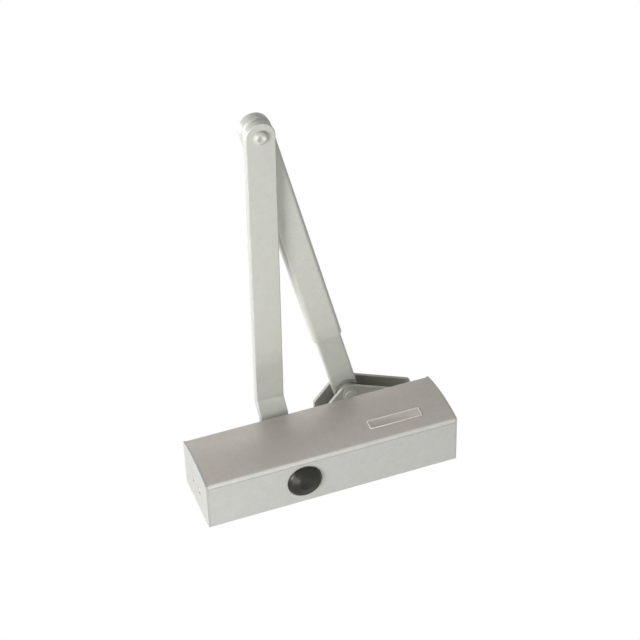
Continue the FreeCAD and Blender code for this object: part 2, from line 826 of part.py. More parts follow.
# Main arm and what holds it

def make_main_arm():
    """A flat bar with a joggle, round at both ends, square hole low and rivet hole high."""
    body = new_body("main_arm", "spindle_x", "axis_y", "arm_height")
    turn_about_z(body, "arm_angle")
    half = "arm_width / 2"
    shift = "arm_thickness * tan(atan(joggle_rise / joggle_run) / 2)"
    side = new_sketch(body, "XZ", "arm_side")
    outline(side, [
        ("0 - " + half, "0"),
        ("joggle_start", "0"),
        ("joggle_start + joggle_run", "joggle_rise"),
        ("arm_length + " + half, "joggle_rise"),
        ("arm_length + " + half, "joggle_rise + arm_thickness"),
        ("joggle_start + joggle_run - " + shift, "joggle_rise + arm_thickness"),
        ("joggle_start - " + shift, "arm_thickness"),
        ("0 - " + half, "arm_thickness"),
    ])
    pad(body, side, "arm_width", both_ways=True)
    low, high = "joggle_start", "joggle_start + joggle_run"
    across = number("arm_width") - TOUCH

    def bend(x, z):
        return lambda m, b: near(m.x, x) and near(m.z, z) and b.YLength > across

    fillet(body, "bend_radius", bend("joggle_start - " + shift, "arm_thickness"), "bend_low_inner")
    fillet(body, "seen_bend_radius", bend(high, "joggle_rise"), "bend_high_inner")
    fillet(body, "outer_bend_radius", bend(low, "0"), "bend_low_outer")
    fillet(body, "outer_bend_radius",
           bend(high + " - " + shift, "joggle_rise + arm_thickness"), "bend_high_outer")
    fillet(body, "arm_end", lambda m, b: upright(b), "arm_ends")
    square = new_sketch(body, "XY", "arm_square_hole", angle="0 - arm_angle")
    gap_half = "upper_square / 2 + fit_gap"
    rectangle(square, "0 - (%s)" % gap_half, gap_half, "0 - (%s)" % gap_half, gap_half)
    pocket(body, square)
    rivet = new_sketch(body, "XY", "arm_rivet_hole")
    circle(rivet, "arm_length", "0", "knee_rivet_radius")
    pocket(body, rivet)

    def rim(m, b):
        past_end = m.x < number("0 - arm_width / 4") or m.x > number("arm_length + arm_width / 4")
        return not upright(b) and (near(abs(m.y), half) or past_end)

    fillet(body, "arm_edge", rim, "arm_rim")
    node(body, "main_arm")


def make_arm_screw():
    node(tube("arm_washer", "arm_washer_radius", "arm_screw_radius + fit_gap", "arm_washer",
              ("spindle_x", "axis_y", "arm_top")), "arm_washer")
    head = hexagon("arm_screw_hexagon", "arm_screw_hex", "arm_screw_head",
                   ("spindle_x", "axis_y", "arm_top + arm_washer"))
    bevel = cone("arm_screw_bevel", "arm_screw_hex * 0.8", "arm_screw_hex * 0.48", "arm_screw_head",
                 ("spindle_x", "axis_y", "arm_top + arm_washer"))
    shank = cylinder("arm_screw_shank", "arm_screw_radius", "arm_screw_depth",
                     ("spindle_x", "axis_y", "arm_top + arm_washer + 1 - arm_screw_depth"))
    node(fuse("arm_screw_solid", [common("arm_screw_cut", [head, bevel]), shank]), "arm_screw")


def make_knee():
    body = new_body("knee_rivet", "knee_x", "knee_y", "upper_arm")
    profile = new_sketch(body, "XZ", "knee_rivet_profile")
    grip = "arm_thickness + knee_washer + sleeve_sheet + fit_gap"
    outline(profile, [
        ("0", "knee_dimple - knee_head"),
        ("knee_dimple_radius", "0 - knee_head"),
        ("knee_head_radius * 0.6", "0 - knee_head"),
        ("knee_head_radius * 0.9", "0 - knee_head * 0.65"),
        ("knee_head_radius", "0"),
        ("knee_rivet_radius - fit_gap / 5", "0"),
        ("knee_rivet_radius - fit_gap / 5", grip),
        ("knee_head_radius", grip),
        ("knee_head_radius", grip + " + knee_far_head * 0.6"),
        ("knee_head_radius * 0.75", grip + " + knee_far_head"),
        ("0", grip + " + knee_far_head"),
    ])
    revolve(body, profile)
    node(body, "knee_rivet")
    node(tube("knee_washer", "knee_washer_radius", "knee_rivet_radius + fit_gap", "knee_washer",
              ("knee_x", "knee_y", "upper_arm_top")), "knee_washer")


# Forearm

def make_sleeve():
    """A folded channel: web towards the main arm, lips turned in over the rod."""
    body = new_body("forearm_sleeve", "knee_x", "knee_y", "sleeve_z")
    turn_about_z(body, "forearm_angle")
    plan = new_sketch(body, "XY", "sleeve_plan")
    round_strip(plan, "sleeve_length", "sleeve_half")
    pad(body, plan, "sleeve_height")
    open_end = number("sleeve_length")

    def rim(z):
        return lambda m, b: level(b) and near(m.z, z) and b.XMin < open_end - 1

    fillet(body, "sleeve_bend", rim("0"), "sleeve_web_bend")
    fillet(body, "sleeve_sheet", rim("sleeve_height"), "sleeve_lip_bend")
    inset = "sleeve_half - sleeve_sheet"
    hollow = new_sketch(body, "XY", "sleeve_hollow", "sleeve_sheet")
    round_strip(hollow, "sleeve_length + 1", inset)
    pocket(body, hollow, "sleeve_inside", upwards=True)
    inner = number(inset)

    def hollow_rim(m, b):
        inside = abs(m.y) < inner + TOUCH and m.x > -inner - TOUCH
        return level(b) and near(m.z, "sleeve_sheet") and inside and b.XMin < open_end - 1

    fillet(body, "sleeve_bend - sleeve_sheet", hollow_rim, "sleeve_hollow_bend")
    mouth = new_sketch(body, "XY", "sleeve_mouth_plan", "sleeve_sheet + sleeve_inside / 2")
    round_strip(mouth, "sleeve_length + 1", "sleeve_mouth / 2")
    pocket(body, mouth, "sleeve_height", upwards=True)
    rivet = new_sketch(body, "XY", "sleeve_rivet_hole")
    circle(rivet, "0", "0", "knee_rivet_radius + fit_gap")
    pocket(body, rivet)
    node(body, "forearm_sleeve")


def make_rod():
    """The flat bar that slides in the sleeve: a long slot for the clamp and a round eye."""
    body = new_body("forearm_rod", "knee_x", "knee_y", "rod_z")
    turn_about_z(body, "forearm_angle")
    half = "rod_width / 2"
    plan = new_sketch(body, "XY", "rod_plan")
    rectangle(plan, "rod_start", "forearm_length + " + half, "0 - " + half, half)
    pad(body, plan, "rod_thickness")
    middle = number("(rod_start + forearm_length) / 2")
    fillet(body, "rod_eye", lambda m, b: upright(b) and m.x > middle, "rod_eye_end")
    fillet(body, "rod_edge", lambda m, b: level(b) and not near(m.x, "rod_start"), "rod_rim")
    slot = new_sketch(body, "XY", "rod_slot")
    reach = "clamp_radius + clamp_clear"
    rectangle(slot, "clamp_place - adjust_out - (%s)" % reach, "clamp_place + adjust_in + %s" % reach,
              "0 - (%s)" % reach, reach)
    pocket(body, slot)
    inside = number(reach) + TOUCH
    fillet(body, "clamp_radius",
           lambda m, b: upright(b) and near(abs(m.y), reach) and abs(m.y) < inside, "rod_slot_ends")
    eye = new_sketch(body, "XY", "rod_eye_hole")
    circle(eye, "forearm_length", "0", "bush_radius + fit_gap")
    pocket(body, eye)
    node(body, "forearm_rod")


def make_clamp():
    """A stud on the sleeve's web, through the rod's slot, with a washer and a nut."""
    x = "knee_x + clamp_place * cos(forearm_angle)"
    y = "knee_y + clamp_place * sin(forearm_angle)"
    foot = "sleeve_z + sleeve_sheet"
    node(cylinder("clamp_stud", "clamp_radius", "clamp_height", (x, y, foot)), "clamp_stud")
    node(tube("clamp_washer", "clamp_washer_radius", "clamp_radius + fit_gap", "clamp_washer",
              (x, y, "rod_top")), "clamp_washer")
    blank = hexagon("clamp_nut_blank", "clamp_nut_hex", "clamp_nut", (x, y, "rod_top + clamp_washer"))
    bore = cylinder("clamp_nut_bore", "clamp_radius + fit_gap", "clamp_nut + 2",
                    (x, y, "rod_top + clamp_washer - 1"))
    node(cut("clamp_nut_threaded", blank, [bore]), "clamp_nut")


# Bracket

def make_bracket():
    """A folded clevis: a base plate with two long triangular cheeks."""
    body = new_body("bracket", "pivot_x", "pivot_y", "near_cheek")
    profile = new_sketch(body, "XY", "bracket_profile")
    outline(profile, [
        ("0 - bracket_left", "pivot_height"),
        ("0 - bracket_left", "pivot_height - bracket_left_end"),
        ("0 - bracket_apex_x", "0 - bracket_apex"),
        ("bracket_right", "pivot_height - bracket_right_end"),
        ("bracket_right", "pivot_height"),
    ])
    pad(body, profile, "bracket_width")
    fillet(body, "apex_radius",
           lambda m, b: upright(b) and near(m.y, "0 - bracket_apex"), "bracket_apex_round")
    for side in ("left", "right"):
        corner = "pivot_height - bracket_%s_end" % side
        fillet(body, "bracket_corner",
               lambda m, b: upright(b) and near(m.y, corner), "bracket_corner_" + side)
    fillet(body, "bracket_bend", lambda m, b: level(b) and near(m.y, "pivot_height"), "bracket_bends")
    gap = new_sketch(body, "XY", "bracket_inside", "bracket_sheet")
    rectangle(gap, "0 - bracket_left - 1", "bracket_right + 1",
              "0 - bracket_apex - 1", "pivot_height - bracket_sheet")
    pocket(body, gap, "bracket_gap", upwards=True)
    pin_hole = new_sketch(body, "XY", "bracket_pin_hole")
    circle(pin_hole, "0", "0", "pin_radius")
    pocket(body, pin_hole)
    holes = new_sketch(body, "XZ", "bracket_fixing_holes")
    for x in ("0 - bracket_hole_left", "bracket_hole_right"):
        circle(holes, x, "bracket_width / 2", "bracket_hole_radius")
    pocket(body, holes)
    node(body, "bracket")


def make_pin_and_bushes():
    body = new_body("bracket_pin", "pivot_x", "pivot_y", "near_cheek")
    profile = new_sketch(body, "XZ", "bracket_pin_profile")
    outline(profile, [
        ("0", "0 - pin_button"),
        ("pin_button_radius - pin_head_edge", "0 - pin_button"),
        ("pin_button_radius", "pin_head_edge - pin_button"),
        ("pin_button_radius", "0 - pin_head"),
        ("pin_head_radius", "0 - pin_head"),
        ("pin_head_radius", "0"),
        ("pin_radius - fit_gap / 5", "0"),
        ("pin_radius - fit_gap / 5", "bracket_width"),
        ("pin_head_radius", "bracket_width"),
        ("pin_head_radius - pin_head_edge", "bracket_width + pin_far_head"),
        ("0", "bracket_width + pin_far_head"),
    ])
    revolve(body, profile)
    node(body, "bracket_pin")
    for word, flange, collar, stem in (
            ("near", "rod_z - bush_flange / 2", "rod_z - bush_flange", "rod_z"),
            ("far", "rod_top", "rod_top", "rod_top - bush_length")):
        disc = cylinder("bush_flange_" + word, "bush_flange_radius", "bush_flange / 2",
                        ("pivot_x", "pivot_y", flange))
        step = cylinder("bush_collar_" + word, "bush_collar_radius", "bush_flange",
                        ("pivot_x", "pivot_y", collar))
        spigot = cylinder("bush_stem_" + word, "bush_radius", "bush_length", ("pivot_x", "pivot_y", stem))
        hole = cylinder("bush_hole_" + word, "pin_radius + fit_gap", "2 * (bush_flange + bush_length)",
                        ("pivot_x", "pivot_y", "%s - bush_flange" % stem))
        solid = fuse("bush_solid_" + word, [disc, step, spigot])
        node(cut("bush_" + word, solid, [hole]), "pivot_bush_" + word)


def check_and_write():
    """Refuse a failed object or an empty, open or invalid shape, and write the rest."""
    doc.recompute()
    failed = [o.Name for o in doc.Objects if "Invalid" in o.State or "Error" in o.State]
    if failed:
        raise RuntimeError("failed objects: " + ", ".join(failed))
    os.makedirs("parts", exist_ok=True)
    for item in nodes:
        shape = item.Shape
        if shape.isNull() or not shape.isValid() or not shape.Solids:
            raise RuntimeError("bad shape: " + item.Label)
        shape.exportStep("parts/%s.step" % item.Label)
    print("%d nodes, piston travel %.2f mm" % (len(nodes), number("travel")))


fill_sheet()
make_housing()
make_front_cover()
make_end_cap("end_cap_left", -1)
make_end_cap("end_cap_right", 1)
make_spindle_cap()
make_plug()
make_spring("spring_outer", "outer_coil", "outer_wire", "outer_turns")
make_spring("spring_inner", "inner_coil", "inner_wire", "inner_turns")
make_piston()
make_check_valve()
make_spindle()
make_spindle_rings("upper", 1)
make_spindle_rings("lower", -1)
make_valve("closing_valve", 1)
make_valve("latching_valve", -1)
make_main_arm()
make_arm_screw()
make_knee()
make_sleeve()
make_rod()
make_clamp()
make_bracket()
make_pin_and_bushes()
check_and_write()
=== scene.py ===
"""Looks of the scissor-arm door closer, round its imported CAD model.

Metres, in the model's own frame: Z along the spindle, -Y to the front, Y = 0 on the door.
"""

import math

import bmesh
import bpy
from mathutils import Matrix, Vector


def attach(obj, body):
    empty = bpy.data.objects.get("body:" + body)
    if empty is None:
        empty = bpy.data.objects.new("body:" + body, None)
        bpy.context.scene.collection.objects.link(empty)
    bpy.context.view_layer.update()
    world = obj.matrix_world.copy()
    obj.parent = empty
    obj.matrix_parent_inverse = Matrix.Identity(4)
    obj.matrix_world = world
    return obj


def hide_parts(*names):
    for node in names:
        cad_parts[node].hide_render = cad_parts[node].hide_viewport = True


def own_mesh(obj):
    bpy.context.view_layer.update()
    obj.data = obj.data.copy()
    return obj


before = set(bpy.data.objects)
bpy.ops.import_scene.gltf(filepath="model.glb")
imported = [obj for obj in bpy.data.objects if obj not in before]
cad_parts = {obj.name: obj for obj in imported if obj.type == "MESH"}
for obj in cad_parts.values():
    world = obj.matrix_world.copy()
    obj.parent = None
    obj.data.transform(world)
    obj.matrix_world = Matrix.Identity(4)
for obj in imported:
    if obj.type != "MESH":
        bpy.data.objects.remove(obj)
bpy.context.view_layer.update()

MM = 0.001

# Colours as they are seen, each channel from 0 to 255
BODY = (200, 201, 196)
COVER = (204, 198, 189)
# The cover's faces across Z: a painted highlight on its lip, with the lip's own neutral tint
COVER_WALL_HIGHLIGHT = (214, 214, 209)
END_PLATE = (193, 193, 188)
ARM = (206, 207, 199)
SLEEVE = (207, 208, 199)
ROD = (203, 205, 195)
BRACKET = (190, 190, 181)
BLACK = (23, 23, 18)
STEEL = (196, 196, 190)
DARK_STEEL = (92, 92, 96)
IRON = (120, 120, 118)
BRONZE = (196, 152, 98)
RUBBER = (30, 30, 30)
BUSH = (150, 150, 142)
VALVE_ZINC = (226, 226, 222)
BADGE = (246, 244, 238)
FLOOR = (240, 240, 238)

# Grain of the finishes, in cells per metre
TINT_CELLS = 22
ROUGH_CELLS = 60
CLOUD_CELLS = 150
PEEL_CELLS = 420
FLAKE_CELLS = 850
PIT_CELLS = 1100
GRIT_CELLS = 2400
STAIN_CELLS = 160
TOOL_MARKS = 1500
WIRE_MARKS = 900
SPECKLE_CELLS = 1800
MOULD_CELLS = 1500
GLOSS_CELLS = 90

# Depths of the bumps
PEEL_DEPTH = 0.05 * MM
GRIT_DEPTH = 0.012 * MM
PIT_DEPTH = 0.15 * MM
TOOL_MARK_DEPTH = 0.01 * MM
MOULD_DEPTH = 0.02 * MM
RING_DEPTH = 0.05 * MM

# Radii of the soft edges
PAINT_EDGE = 0.35 * MM
VALVE_EDGE = 0.2 * MM
BADGE_EDGE = 0.1 * MM
STEEL_EDGE = 0.2 * MM
PLASTIC_EDGE = 0.3 * MM
EDGE_SAMPLES = 4

# The stretch of a noise's values that is used, and narrower ones that make patches
NOISE_RUN = (0.3, 0.7)
PATCHES = (0.35, 0.65)
STAINS = (0.4, 0.7)

# The cosine between a face and its rounded normal, where an edge starts and where it is full
EDGE_RUN = (0.995, 0.86)

# How much a face looks along Z, where the walls' painted highlight starts and where it is full
WALL_RUN = (0.3, 0.8)

# Scales that draw tool marks out along an axis
ALONG_X = (0.04, 1.0, 1.0)
ALONG_Z = (1.0, 1.0, 0.04)

WHITE = (1.0, 1.0, 1.0, 1.0)
WARM_TINT = (0.992, 0.987, 0.975, 1.0)

# How light patches and edges are, beside the finish that they are on
CLOUD_TONES = (0.975, 1.02)
FLAKE_TONES = (0.92, 1.07)
SPECKLE_TONES = (0.9, 1.12)
STAIN_TONE = 0.82
# The paint's lighter edges are a painted highlight, stronger on the cover
PAINTED_EDGE_HIGHLIGHT = 1.16
STRONG_PAINTED_EDGE_HIGHLIGHT = 1.3
BRIGHT_EDGE = 1.2
RUBBED_EDGE = 1.7

# The middle of the arm's smooth stretch, and how far from there its pits start and are full
SMOOTH_STRETCH = (-175 * MM, 105 * MM, 125 * MM)

# Where the axes of the bore and of the spindle lie in front of the door
AXIS_Y = -22.65 * MM

# The turned rings of the cap, round the spindle
SPINDLE_PLACE = (-27 * MM, AXIS_Y)
RING_SCALE = 190
RING_STRENGTH = 0.4

# The curved front of the cover, as the model has it
FRONT_HALF_HEIGHT = 31 * MM
FRONT_BULGE = 3.8 * MM
FRONT_DEPTH = 49.1 * MM
FRONT_RADIUS = (FRONT_HALF_HEIGHT ** 2 + FRONT_BULGE ** 2) / (2 * FRONT_BULGE)

# The bare framed plate on the cover
BADGE_CENTRE = (62.5 * MM, -13.3 * MM)
BADGE_SIZE = (48.0 * MM, 10.2 * MM)
BADGE_RIM = 0.9 * MM
BADGE_CORNER = 1.2 * MM
LEAST_CORNER = 0.05 * MM
BADGE_HEIGHT = 0.55 * MM
BADGE_SUNK = 0.2 * MM
BADGE_FLOOR = 0.1 * MM
FIELD_HEIGHT = 0.16 * MM
FIELD_INSET = 0.95 * BADGE_RIM
RIM_STEPS = 8
CORNER_STEPS = 6
FIELD_ROWS = 8

# The closing springs, between the piston and the plug
SPRING_START = -2.95 * MM
SPRING_END = 94.95 * MM
OUTER_SPRING = {"coil": 13.4 * MM, "wire": 2.0 * MM, "turns": 7}
INNER_SPRING = {"coil": 8.6 * MM, "wire": 1.4 * MM, "turns": 9}
CLOSED_RISE = 2.02
STEPS_PER_TURN = 30
WIRE_SIDES = 12

# The white room, and a floor that is seen as a glow with a grey that takes shadows
WORLD_LEVEL = 0.11
FLOOR_HEIGHT = -1.6
FLOOR_SIZE = 30.0
FLOOR_GLOW = 0.85
FLOOR_SHADOWED = (0.4, 0.4, 0.4, 1.0)

# The lamps. A level is the light that one gives, where 1 shows a colour as it is written
LAMPS_AIM = (0.0, -0.12, 0.02)
LAMPS = [
    # name, direction, distance, size, level
    ("key", (-0.83, -0.10, -0.55), 1.9, 0.8, 0.84),
    ("upper", (-0.76, -0.50, -0.41), 0.95, 0.35, 0.185),
    ("bounce", (-0.12, 0.50, -0.86), 1.3, 0.2, 0.09),
    ("rim", (-0.10, -0.36, 0.93), 1.15, 0.9, 0.155),
    ("left_back", (-0.70, 0.10, 0.70), 1.7, 0.7, 0.34),
    ("back", (-0.05, 0.93, 0.35), 1.8, 1.2, 0.28),
]

CAMERA_PLACE = (-0.37984, -1.02335, -1.0674)
CAMERA_RIGHT = (0.93396, 0.02685, -0.35636)
CAMERA_UP = (0.23570, -0.79583, 0.55776)
CAMERA_LENS = 98.75
CAMERA_SENSOR = 36.0
CAMERA_NEAR = 0.01

# The colour sockets of a Mix node
MIX_FIRST, MIX_SECOND, MIX_RESULT = 6, 7, 2


def linear(colour):
    """The linear colour, with alpha, of one that is written as it is seen."""
    levels = [channel / 255 for channel in colour]
    return [v / 12.92 if v <= 0.04045 else ((v + 0.055) / 1.055) ** 2.4 for v in levels] + [1.0]


# Node helpers

def new_material(name):
    """An empty node material and its tree."""
    material = bpy.data.materials.new(name)
    material.use_nodes = True
    material.node_tree.nodes.clear()
    return material, material.node_tree


def add(tree, kind, **values):
    """A shader node with its sockets and settings filled in."""
    node = tree.nodes.new("ShaderNode" + kind)
    for key, value in values.items():
        name = key.replace("_", " ").title().replace("Ior", "IOR")
        if name in node.inputs:
            node.inputs[name].default_value = value
        else:
            setattr(node, key, value)
    return node


def feed(tree, value, socket):
    """Link a value that is a socket, or write a plain one."""
    if isinstance(value, bpy.types.NodeSocket):
        tree.links.new(value, socket)
    else:
        socket.default_value = value


def noise(tree, scale, detail=2.0, roughness=0.5):
    """Even noise in the model's own space, in cells per metre."""
    place = add(tree, "TexCoord")
    cloud = add(tree, "TexNoise", scale=scale, detail=detail, roughness=roughness)
    tree.links.new(place.outputs["Object"], cloud.inputs["Vector"])
    return cloud.outputs["Fac"]


def spread(tree, value, run, low=0.0, high=1.0):
    """A value whose run is spread from low to high, and kept within that."""
    ranged = add(tree, "MapRange", from_min=run[0], from_max=run[1], to_min=low, to_max=high)
    tree.links.new(value, ranged.inputs["Value"])
    return ranged.outputs["Result"]


def varied(tree, low, high, scale, detail=2.0, roughness=0.5):
    """A value that goes from low to high with even noise."""
    return spread(tree, noise(tree, scale, detail, roughness), NOISE_RUN, low, high)


def placed(tree, **values):
    """The place in the model's own space, moved by a location or stretched by a scale."""
    place = add(tree, "TexCoord")
    mapping = add(tree, "Mapping", **values)
    tree.links.new(place.outputs["Object"], mapping.inputs["Vector"])
    return mapping.outputs["Vector"]


def mixed(tree, factor, first, second, blend="MIX"):
    """Two colours mixed by a factor. Each of the three may be a socket or plain."""
    mix = add(tree, "Mix", data_type="RGBA", blend_type=blend)
    feed(tree, factor, mix.inputs["Factor"])
    feed(tree, first, mix.inputs[MIX_FIRST])
    feed(tree, second, mix.inputs[MIX_SECOND])
    return mix.outputs[MIX_RESULT]


def bumped(tree, height, distance, strength, before):
    """A normal bumped by a height, on top of the normal before."""
    bump = add(tree, "Bump", strength=strength, distance=distance)
    tree.links.new(height, bump.inputs["Height"])
    tree.links.new(before, bump.inputs["Normal"])
    return bump.outputs["Normal"]


def soft_edges(tree, radius):
    """Rounded normals at sharp edges, and a mask that is 1 on those edges."""
    bevel = add(tree, "Bevel", samples=EDGE_SAMPLES, radius=radius)
    plain = add(tree, "NewGeometry")
    dot = add(tree, "VectorMath", operation="DOT_PRODUCT")
    tree.links.new(bevel.outputs["Normal"], dot.inputs[0])
    tree.links.new(plain.outputs["Normal"], dot.inputs[1])
    mask = spread(tree, dot.outputs["Value"], EDGE_RUN)
    return bevel.outputs["Normal"], mask


def close_shader(tree, colour, normal, metallic, rough, **values):
    """The surface and output of a material. Further values go to the surface's own sockets."""
    shader = add(tree, "BsdfPrincipled", metallic=metallic, **values)
    output = add(tree, "OutputMaterial")
    tree.links.new(colour, shader.inputs["Base Color"])
    tree.links.new(normal, shader.inputs["Normal"])
    tree.links.new(rough, shader.inputs["Roughness"])
    tree.links.new(shader.outputs["BSDF"], output.inputs["Surface"])


def scaled(colour, factor):
    """A linear colour made lighter or darker."""
    return [channel * factor for channel in colour[:3]] + [1.0]


def along(tree, axis, kind="Object"):
    """One axis of the place, or of the normal, in the model's own space."""
    place = add(tree, "TexCoord")
    parts = add(tree, "SeparateXYZ")
    tree.links.new(place.outputs[kind], parts.inputs[0])
    return parts.outputs[axis]


def reckon(tree, operation, first, second=0.0):
    """What an operation makes of two values. Either may be a socket or a number."""
    node = add(tree, "Math", operation=operation)
    feed(tree, first, node.inputs[0])
    feed(tree, second, node.inputs[1])
    return node.outputs[0]


# Materials

def silver_paint(name, colour, metallic=0.25, rough=0.42, grain=1.0, edge=PAINT_EDGE, pits=0.0,
                 smooth=None, wall_highlight=None, edge_highlight=PAINTED_EDGE_HIGHLIGHT):
    """Satin paint with fine metal flakes, a little orange peel and a painted highlight on its
    edges.

    Pits may leave a smooth stretch along Y, and faces across Z may take a lighter colour, a
    painted highlight.
    """
    material, tree = new_material(name)
    tone = linear(colour)
    normal, edges = soft_edges(tree, edge)
    # Painted highlight: faces across Z take the lighter wall colour
    if wall_highlight:
        facing = reckon(tree, "ABSOLUTE", along(tree, "Z", "Normal"))
        tone = mixed(tree, spread(tree, facing, WALL_RUN), tone, linear(wall_highlight))
    warm = mixed(tree, spread(tree, noise(tree, TINT_CELLS), PATCHES), WHITE, WARM_TINT)
    clouds = varied(tree, *CLOUD_TONES, CLOUD_CELLS)
    flakes = varied(tree, *FLAKE_TONES, FLAKE_CELLS, 4.0, 0.75)
    # Painted highlight: the edges are made lighter
    lighter = spread(tree, edges, (0.0, 1.0), 1.0, edge_highlight)
    for layer in (warm, clouds, flakes, lighter):
        tone = mixed(tree, 1.0, tone, layer, "MULTIPLY")
    normal = bumped(tree, noise(tree, PEEL_CELLS, 1.0), PEEL_DEPTH, 0.12 * grain, normal)
    normal = bumped(tree, noise(tree, GRIT_CELLS), GRIT_DEPTH, 0.5 * grain, normal)
    if pits:
        holes = noise(tree, PIT_CELLS, 3.0)
        if smooth:
            middle, start, full = smooth
            away = reckon(tree, "ABSOLUTE", reckon(tree, "SUBTRACT", along(tree, "Y"), middle))
            holes = reckon(tree, "MULTIPLY", holes, spread(tree, away, (start, full)))
        normal = bumped(tree, holes, PIT_DEPTH, pits, normal)
    rough_map = varied(tree, rough - 0.05, rough + 0.06, ROUGH_CELLS, 3.0)
    close_shader(tree, tone, normal, metallic, rough_map)
    return material


def turned_steel(name, colour, rough=0.32, lines=TOOL_MARKS, stretch=ALONG_Z):
    """Machined metal: fine tool marks drawn out along one axis, small stains and bright edges."""
    material, tree = new_material(name)
    base = linear(colour)
    normal, edges = soft_edges(tree, STEEL_EDGE)
    marks = add(tree, "TexNoise", scale=lines, detail=2.0)
    tree.links.new(placed(tree, scale=stretch), marks.inputs["Vector"])
    stains = spread(tree, noise(tree, STAIN_CELLS, 4.0), STAINS)
    tone = mixed(tree, stains, base, scaled(base, STAIN_TONE))
    tone = mixed(tree, edges, tone, scaled(base, BRIGHT_EDGE))
    normal = bumped(tree, marks.outputs["Fac"], TOOL_MARK_DEPTH, 0.35, normal)
    rough_map = spread(tree, marks.outputs["Fac"], NOISE_RUN, rough - 0.06, rough + 0.1)
    close_shader(tree, tone, normal, 1.0, rough_map)
    return material


def moulded(name, colour, rough, rings=None, **values):
    """Moulded plastic or rubber with a fine grain and paler rubbed edges.

    It may have turned rings, whose centre in X and Y is given.
    """
    material, tree = new_material(name)
    base = linear(colour)
    normal, edges = soft_edges(tree, PLASTIC_EDGE)
    speckle = spread(tree, noise(tree, SPECKLE_CELLS), PATCHES)
    darker, paler = SPECKLE_TONES
    tone = mixed(tree, speckle, scaled(base, darker), scaled(base, paler))
    tone = mixed(tree, edges, tone, scaled(base, RUBBED_EDGE))
    normal = bumped(tree, noise(tree, MOULD_CELLS), MOULD_DEPTH, 0.3, normal)
    if rings:
        centred = placed(tree, location=(-rings[0], -rings[1], 0))
        wave = add(tree, "TexWave", wave_type="RINGS", rings_direction="Z", scale=RING_SCALE,
                   distortion=0.4)
        tree.links.new(centred, wave.inputs["Vector"])
        normal = bumped(tree, wave.outputs["Fac"], RING_DEPTH, RING_STRENGTH, normal)
    rough_map = varied(tree, rough - 0.05, rough + 0.08, GLOSS_CELLS, 3.0)
    close_shader(tree, tone, normal, 0.0, rough_map, **values)
    return material


def make_materials():
    """Every finish, by the name that NODE_LOOKS uses."""
    return {
        "body": silver_paint("body_paint", BODY, rough=0.44),
        # The cover's lighter walls and edges are painted highlights
        "cover": silver_paint("cover_paint", COVER, rough=0.4, grain=0.8, wall_highlight=COVER_WALL_HIGHLIGHT,
                              edge_highlight=STRONG_PAINTED_EDGE_HIGHLIGHT),
        "end": silver_paint("end_plate_paint", END_PLATE, rough=0.46, grain=1.6, pits=0.5),
        "valve": silver_paint("valve_zinc", VALVE_ZINC, metallic=0.4, rough=0.3, edge=VALVE_EDGE),
        "arm": silver_paint("arm_paint", ARM, pits=0.5, smooth=SMOOTH_STRETCH),
        "sleeve": silver_paint("sleeve_paint", SLEEVE),
        "rod": silver_paint("rod_paint", ROD, pits=0.15),
        "bracket": silver_paint("bracket_paint", BRACKET),
        "rivet": silver_paint("rivet_paint", ARM, rough=0.36),
        "badge": silver_paint("badge_paint", BADGE, metallic=0.1, rough=0.3, grain=0.4,
                              edge=BADGE_EDGE),
        "black": moulded("black_plastic", BLACK, rough=0.28, rings=SPINDLE_PLACE,
                         specular_ior_level=0.35, specular_tint=(1.0, 0.98, 0.88, 1.0)),
        "rubber": moulded("seal_rubber", RUBBER, rough=0.6),
        "bush": moulded("bush_plastic", BUSH, rough=0.4),
        "steel": turned_steel("zinc_steel", STEEL),
        "spring": turned_steel("spring_steel", DARK_STEEL, rough=0.38, lines=WIRE_MARKS),
        "iron": turned_steel("piston_iron", IRON, rough=0.4, stretch=ALONG_X),
        "bronze": turned_steel("bearing_bronze", BRONZE, rough=0.3),
    }


NODE_LOOKS = {
    "body": ["housing"],
    "cover": ["front_cover"],
    "end": ["end_cap_left", "end_cap_right"],
    "arm": ["main_arm"],
    "sleeve": ["forearm_sleeve"],
    "rod": ["forearm_rod"],
    "bracket": ["bracket"],
    "rivet": ["knee_rivet", "knee_washer", "bracket_pin"],
    "black": ["spindle_cap"],
    "rubber": ["plug_seal", "shaft_seal_lower", "shaft_seal_upper", "closing_valve_seal",
               "latching_valve_seal"],
    "bush": ["pivot_bush_near", "pivot_bush_far"],
    "steel": ["cylinder_plug", "bearing_cap_lower", "bearing_cap_upper", "pinion_spindle",
              "arm_screw", "arm_washer", "check_disc", "check_retainer", "clamp_stud",
              "clamp_washer", "clamp_nut"],
    "valve": ["closing_valve", "latching_valve"],
    "spring": ["spring_outer", "spring_inner"],
    "iron": ["piston"],
    "bronze": ["bearing_lower", "bearing_upper", "thrust_washer_lower", "thrust_washer_upper"],
}


def dress_nodes(looks):
    """Give every CAD node its finish."""
    for look, names in NODE_LOOKS.items():
        for name in names:
            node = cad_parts[name]
            node.data.materials.clear()
            node.data.materials.append(looks[look])
    bare = set(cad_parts) - {name for names in NODE_LOOKS.values() for name in names}
    if bare:
        raise RuntimeError("no finish for " + ", ".join(sorted(bare)))


# Pieces in mesh code

def mesh_object(name, mesh, looks):
    """A smooth object made of a finished bmesh, with its materials."""
    data = bpy.data.meshes.new(name)
    mesh.to_mesh(data)
    mesh.free()
    for look in looks:
        data.materials.append(look)
    data.polygons.foreach_set("use_smooth", [True] * len(data.polygons))
    made = bpy.data.objects.new(name, data)
    bpy.context.scene.collection.objects.link(made)
    return made


def join_rings(mesh, rings):
    """Faces between each ring of vertices and the next, and one that closes each end."""
    count = len(rings[0])
    for low, high in zip(rings, rings[1:]):
        for i in range(count):
            after = (i + 1) % count
            mesh.faces.new((low[i], low[after], high[after], high[i]))
    mesh.faces.new(rings[-1])
    mesh.faces.new(reversed(rings[0]))
    bmesh.ops.recalc_face_normals(mesh, faces=mesh.faces)


